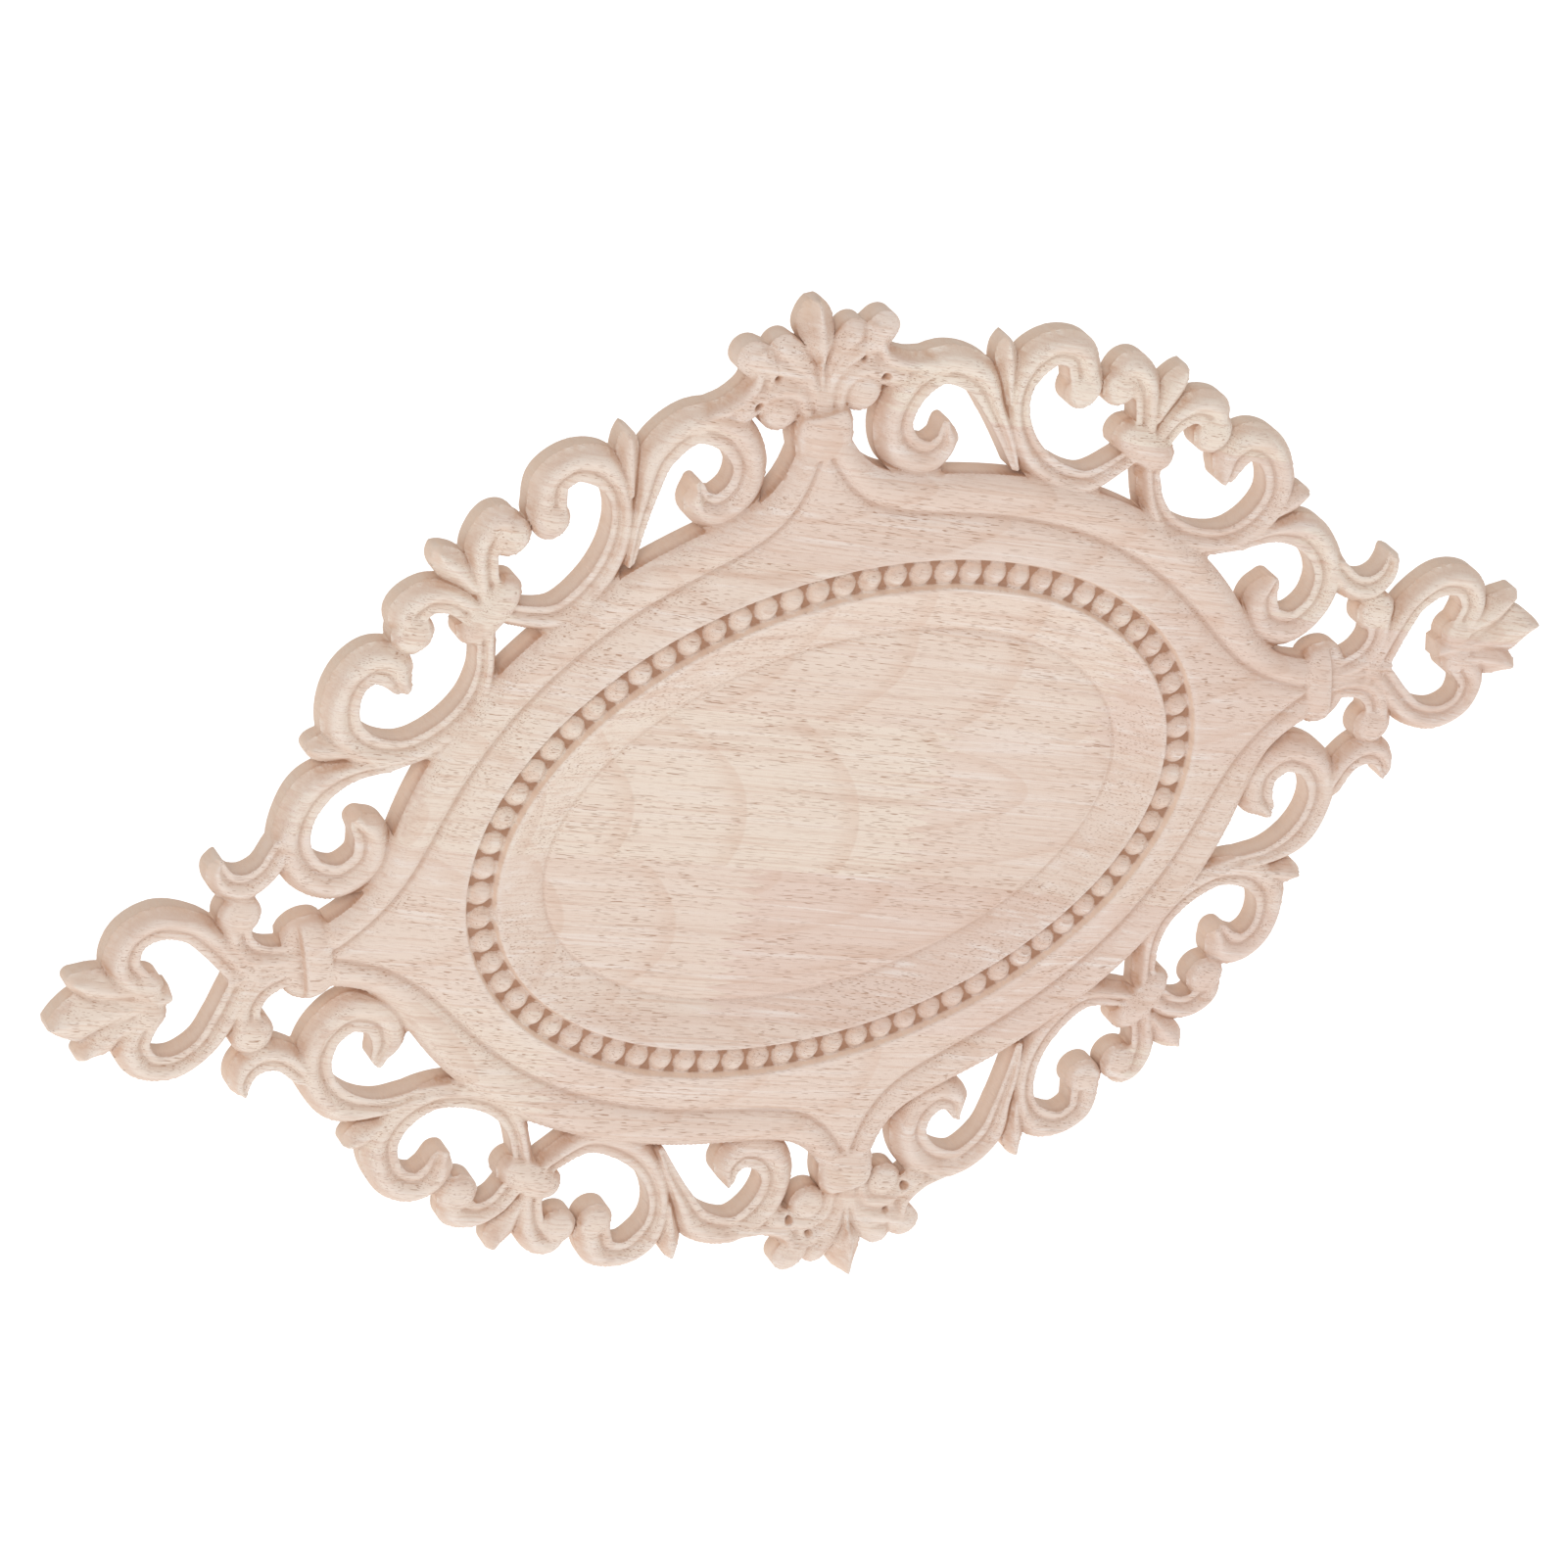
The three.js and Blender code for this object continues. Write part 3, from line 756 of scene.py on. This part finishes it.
def rims_sharp(mesh):
    """Marks the edges round the back, and those between the upright walls and the carving.

    Faces count as back, as not quite back, as wall or as carving by the share of their normal along Y.
    """
    back, not_back, wall, carving = 0.99, 0.9, 0.12, 0.3
    normals = np.zeros(len(mesh.polygons) * 3, np.float32)
    mesh.polygons.foreach_get("normal", normals)
    sizes = np.zeros(len(mesh.polygons), np.int32)
    mesh.polygons.foreach_get("loop_total", sizes)
    edges = np.zeros(len(mesh.loops), np.int32)
    mesh.loops.foreach_get("edge_index", edges)

    def span(values):
        """The least and the most of the values of the faces at each edge."""
        least = np.full(len(mesh.edges), 1.0)
        most = np.full(len(mesh.edges), -1.0)
        np.minimum.at(least, edges, np.repeat(values, sizes))
        np.maximum.at(most, edges, np.repeat(values, sizes))
        return least, most

    backward = span(normals[1::3])
    facing = span(np.abs(normals[1::3]))
    sharp = mesh.attributes.new("sharp_edge", "BOOLEAN", "EDGE")
    round_back = (backward[1] > back) & (backward[0] < not_back)
    round_top = (facing[0] < wall) & (facing[1] > carving)
    sharp.data.foreach_set("value", round_back | round_top)


def field_attribute(mesh, name, gx, gy, field):
    """Stores a field on the points of a mesh, mixed from the grid's four nearest. It is 0 on the back."""
    points = np.zeros(len(mesh.vertices) * 3, np.float32)
    mesh.vertices.foreach_get("co", points)
    x, y = points[::3] / MM, points[2::3] / MM
    column = np.clip((x - gx[0, 0]) / GRID, 0, gx.shape[1] - 1.001)
    row = np.clip((y - gy[0, 0]) / GRID, 0, gx.shape[0] - 1.001)
    i, j = row.astype(int), column.astype(int)
    u, v = row - i, column - j
    upper = field[i, j] * (1 - v) + field[i, j + 1] * v
    lower = field[i + 1, j] * (1 - v) + field[i + 1, j + 1] * v
    stored = mesh.attributes.new(name, "FLOAT", "POINT")
    values = np.where(np.abs(points[1::3]) < 1e-5, 0, upper * (1 - u) + lower * u)
    stored.data.foreach_set("value", values.astype(np.float32))


def finished(name, material):
    """The piece, thinned to its triangle count and smooth but for its sharp rims."""
    gx, gy, height, inside, fields = whole_relief()
    mesh = carved_mesh(name, gx, gy, height, inside)
    piece = bpy.data.objects.new(name, mesh)
    bpy.context.scene.collection.objects.link(piece)
    thin = piece.modifiers.new("thin", "DECIMATE")
    corners = np.zeros(len(mesh.polygons), np.int32)
    mesh.polygons.foreach_get("loop_total", corners)
    thin.ratio = MOST_TRIANGLES / float((corners - 2).sum())
    shown = piece.evaluated_get(bpy.context.evaluated_depsgraph_get())
    piece.data = bpy.data.meshes.new_from_object(shown)
    piece.modifiers.clear()
    piece.data.name = mesh.name
    piece.data.shade_smooth()
    rims_sharp(piece.data)
    for label, field in fields.items():
        field_attribute(piece.data, label, gx, gy, field)
    piece.data.materials.clear()
    piece.data.materials.append(material)
    return piece


class Bench:
    """Short ways to set up shader nodes in one material."""

    def __init__(self, material):
        material.use_nodes = True
        self.tree = material.node_tree
        self.shader = self.tree.nodes["Principled BSDF"]

    def node(self, kind, inputs, **settings):
        """A node with its settings, and numbers or other nodes' outputs on its inputs by place."""
        made = self.tree.nodes.new("ShaderNode" + kind)
        for name, value in settings.items():
            setattr(made, name, value)
        for place, value in inputs.items():
            socket = made.inputs[place]
            if isinstance(value, bpy.types.NodeSocket):
                self.tree.links.new(value, socket)
            else:
                socket.default_value = value
        return made

    def maths(self, operation, *values):
        """The result of a Math node."""
        return self.node("Math", dict(enumerate(values)), operation=operation).outputs[0]

    def vector(self, x, y, z):
        """Three values as one vector."""
        return self.node("CombineXYZ", {0: x, 1: y, 2: z}).outputs[0]

    def noise(self, vector, detail=2.0, roughness=0.5):
        """Noise whose coarsest grain is one unit of the vector."""
        inputs = {"Vector": vector, "Scale": 1.0, "Detail": detail, "Roughness": roughness}
        return self.node("TexNoise", inputs).outputs[0]

    def ramp(self, value, low, high, start=0.0, end=1.0):
        """A smooth step of the value from start to end."""
        made = self.node(
            "MapRange", {0: value, 1: low, 2: high, 3: start, 4: end}, interpolation_type="SMOOTHSTEP"
        )
        return made.outputs[0]

    def tint(self, share, below, above):
        """Two colours mixed by a share."""
        made = self.node("Mix", {0: share, 6: below, 7: above}, data_type="RGBA", clamp_factor=True)
        return made.outputs[2]


def srgb(red, green, blue):
    """A colour given as 0 to 255 on screen, as the linear numbers that a shader takes."""
    shares = (red / 255, green / 255, blue / 255)
    linear = [c / 12.92 if c <= 0.04045 else ((c + 0.055) / 1.055) ** 2.4 for c in shares]
    return (*linear, 1)


# Finger-jointed board, in millimetres: its grain angle, strips and pieces, and its colours, painted shade and
# highlight among them
GRAIN_ANGLE = math.radians(21)
STRIP_WIDTH = 41.0
STRIP_START = -57.0
PIECE_LENGTH = 170.0
PIECE_START = -12.0
FINGER_PITCH = 3.4
FINGER_LENGTH = 8.0
RING_PITCH = 9.5
RING_BEND = 14.0
CREAM = srgb(227, 213, 198)
PINK = srgb(218, 195, 182)
RING_LINE = srgb(200, 162, 138)
STREAK = srgb(205, 176, 158)
PALE_STREAK_AND_HIGHLIGHT = srgb(232, 223, 217)
# Pale streaks of the wood, and also the painted highlight on ridges and rims
PORE = srgb(164, 124, 98)
WALL = srgb(224, 196, 174)
# Painted shade on walls that stand close together
SHADED_WALL = srgb(190, 146, 116)
# Painted shade in creases, eyes and bead corners
CREVICE_SHADE = srgb(158, 110, 78)


def pale_wood():
    """Finger-jointed pale wood: two tones, growth lines, streaks, pores, fuzzy walls, painted shade and
    highlight.
    """
    material = bpy.data.materials.new("pale_wood")
    bench = Bench(material)
    maths, vector, noise, ramp, tint = bench.maths, bench.vector, bench.noise, bench.ramp, bench.tint

    def times(value, factor):
        """A product."""
        return maths("MULTIPLY", value, factor)

    def plus(value, term):
        """A sum."""
        return maths("ADD", value, term)

    # Place in millimetres, along the grain and across it
    coordinates = bench.node("TexCoord", {})
    place = bench.node("SeparateXYZ", {0: coordinates.outputs["Object"]})
    x, y, z = (times(place.outputs[k], 1000.0) for k in (0, 1, 2))
    slope = bench.node("SeparateXYZ", {0: coordinates.outputs["Normal"]}).outputs[1]
    cosine, sine = math.cos(GRAIN_ANGLE), math.sin(GRAIN_ANGLE)
    along = maths("SUBTRACT", times(x, cosine), times(z, sine))
    cross = plus(times(x, sine), times(z, cosine))

    # Strips across the grain, pieces along each strip with zigzag ends, and two shares that vary by piece
    strip = maths("FLOOR", maths("DIVIDE", plus(cross, -STRIP_START), STRIP_WIDTH))
    shift = times(maths("FRACT", plus(times(strip, 0.76), 8.001)), PIECE_LENGTH)
    finger = times(maths("PINGPONG", cross, FINGER_PITCH / 2), 2 * FINGER_LENGTH / FINGER_PITCH)
    length = plus(plus(along, -PIECE_START), shift)
    piece = maths("FLOOR", maths("DIVIDE", plus(length, finger), PIECE_LENGTH))
    tone = maths("FRACT", plus(plus(times(piece, 0.42), times(strip, 0.26)), 10.96))
    other = maths("FRACT", plus(plus(times(piece, 0.37), times(strip, 0.23)), 10.45))

    # Growth lines: rings round a heart outside the piece, bent by a slow noise
    drift = noise(vector(times(along, 0.006), times(cross, 0.022), times(tone, 9.0)), 1.0)
    bent = plus(cross, times(plus(drift, -0.5), RING_BEND))
    start = maths("SUBTRACT", maths("DIVIDE", length, PIECE_LENGTH), piece)
    middle = plus(start, plus(times(other, 0.3), 0.12))
    heart = maths("SUBTRACT", maths("FRACT", maths("DIVIDE", plus(bent, -STRIP_START), STRIP_WIDTH)), tone)
    wide = maths("ABSOLUTE", times(heart, STRIP_WIDTH))
    long = times(middle, PIECE_LENGTH * 0.3)
    ring = maths("SQRT", plus(maths("POWER", wide, 2.0), maths("POWER", long, 2.0)))
    rings = maths("FRACT", maths("DIVIDE", plus(ring, times(y, 0.8)), RING_PITCH))
    line = times(ramp(rings, 0.72, 0.97), ramp(rings, 1.0, 0.975))

    # Streaks and pores, long along the grain, even fuzz, and brush marks that run from front to back
    deep = times(y, 0.5)
    streak = noise(vector(times(along, 0.012), times(bent, 0.32), deep), 3.0, 0.6)
    fine = noise(vector(times(along, 0.022), times(cross, 2.0), plus(deep, 9.0)), 2.0, 0.6)
    pale = noise(vector(times(along, 0.012), times(bent, 0.5), plus(deep, 40.0)), 3.0, 0.6)
    pore = noise(vector(times(along, 0.33), times(cross, 4.6), times(y, 4.6)), 0.0)
    patch = noise(vector(times(along, 0.03), times(cross, 0.08), times(tone, 5.0)), 2.0)
    fuzz = noise(vector(times(x, 2.6), times(y, 2.6), times(z, 2.6)), 3.0, 0.65)
    brush = noise(vector(times(x, 1.7), times(y, 0.16), times(z, 1.7)), 3.0, 0.6)

    # Colours of the face, from the tone of the piece to its pores
    colour = tint(tone, CREAM, PINK)
    colour = tint(times(ramp(streak, 0.5, 0.72), plus(times(other, 0.45), 0.3)), colour, STREAK)
    colour = tint(times(ramp(pale, 0.52, 0.7), plus(times(tone, 0.4), 0.2)), colour, PALE_STREAK_AND_HIGHLIGHT)
    colour = tint(ramp(fine, 0.48, 0.68, 0.0, 0.42), colour, RING_LINE)
    colour = tint(times(line, 0.24), colour, RING_LINE)
    upright = ramp(times(slope, slope), 0.7, 0.15)
    facing = maths("SUBTRACT", 1.0, upright)
    dots = times(times(ramp(pore, 0.65, 0.73), ramp(patch, 0.36, 0.58, 0.25, 0.8)), facing)
    colour = tint(dots, colour, PORE)
    colour = tint(ramp(fuzz, 0.35, 0.75, 0.0, 0.1), colour, STREAK)

    # Walls take a colour of their own, with painted shade where they stand close together
    wall_shade = bench.node("Attribute", {}, attribute_name="wall_shade").outputs["Fac"]
    wall = tint(times(ramp(wall_shade, 0.3, 0.6), ramp(wall_shade, 0.92, 0.82)), WALL, SHADED_WALL)
    colour = tint(times(upright, ramp(brush, 0.3, 0.7, 0.9, 0.6)), colour, wall)

    # Painted shade: brown in creases, eyes and bead corners. Painted highlight: a paler tint on ridges and
    # rims
    shade_and_highlight = bench.node("Attribute", {}, attribute_name="shade_and_highlight").outputs["Fac"]
    # Painted shade, deepened by the concavity and broken up by the fuzz
    shade_depth = plus(shade_and_highlight, times(plus(fuzz, -0.5), 0.3))
    dark = maths("MAXIMUM", ramp(shade_depth, 0.08, 0.45, 0.0, 0.3), ramp(shade_depth, 0.4, 0.75, 0.0, 0.85))
    colour = tint(times(dark, facing), colour, CREVICE_SHADE)
    # Painted highlight on ridges and rims
    colour = tint(ramp(shade_and_highlight, -0.1, -0.4, 0.0, 0.15), colour, PALE_STREAK_AND_HIGHLIGHT)

    # The fuzz stands up and the pores are sunk
    relief = maths("SUBTRACT", times(fuzz, 0.6), times(dots, 0.5))
    bump = bench.node("Bump", {"Strength": 0.35, "Distance": 0.0003, "Height": relief})
    bench.tree.links.new(colour, bench.shader.inputs["Base Color"])
    bench.tree.links.new(ramp(fuzz, 0.3, 0.7, 0.62, 0.78), bench.shader.inputs["Roughness"])
    bench.tree.links.new(bump.outputs[0], bench.shader.inputs["Normal"])
    return material


def floor_paint():
    """White matt paint that glows a little."""
    material = bpy.data.materials.new("floor_paint")
    material.use_nodes = True
    shader = material.node_tree.nodes["Principled BSDF"]
    shader.inputs["Base Color"].default_value = (0.95, 0.95, 0.95, 1)
    shader.inputs["Roughness"].default_value = 0.9
    shader.inputs["Emission Color"].default_value = (1, 1, 1, 1)
    shader.inputs["Emission Strength"].default_value = 0.6
    return material


def floor():
    """A plain pale floor well below the hanging piece, in metres."""
    half = 8
    drop = -0.75
    mesh = bpy.data.meshes.new("floor")
    corners = [(-half, -half, drop), (half, -half, drop), (half, half, drop), (-half, half, drop)]
    mesh.from_pydata(corners, [], [(0, 1, 2, 3)])
    ground = bpy.data.objects.new("floor", mesh)
    bpy.context.scene.collection.objects.link(ground)
    mesh.materials.append(floor_paint())


def soft_light(name, place, size, power):
    """A square soft box that faces the middle of the piece, by its place and size in metres."""
    data = bpy.data.lights.new(name, "AREA")
    data.size = size
    data.energy = power
    light = bpy.data.objects.new(name, data)
    bpy.context.scene.collection.objects.link(light)
    x, y, z = place
    light.location = place
    light.rotation_euler = (math.atan2(math.hypot(x, y), z), 0, math.atan2(x, -y))


def camera():
    """The photo's camera: a long lens above and to the left of the piece."""
    data = bpy.data.cameras.new("camera")
    data.sensor_width = 36
    data.lens = 117.3137
    data.clip_end = 60
    view = bpy.data.objects.new("camera", data)
    bpy.context.scene.collection.objects.link(view)
    view.location = (-0.43478, -0.96602, 0.66474)
    view.rotation_euler = (1.0144155, 0.0296975, -0.4323875)
    bpy.context.scene.camera = view


def surroundings():
    """Even white light from all sides."""
    world = bpy.data.worlds.new("studio")
    bpy.context.scene.world = world
    world.use_nodes = True
    background = world.node_tree.nodes["Background"]
    background.inputs["Color"].default_value = (1, 1, 1, 1)
    background.inputs["Strength"].default_value = 0.6
    bpy.context.scene.view_settings.view_transform = "Standard"


camera()
surroundings()
floor()
soft_light("key", (-1.0, -1.5, 1.6), 0.9, 16)
soft_light("fill", (2.2, -1.8, 0.7), 2.0, 4)

applique = finished("carved_applique", pale_wood())
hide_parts("applique")
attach(applique, "root")
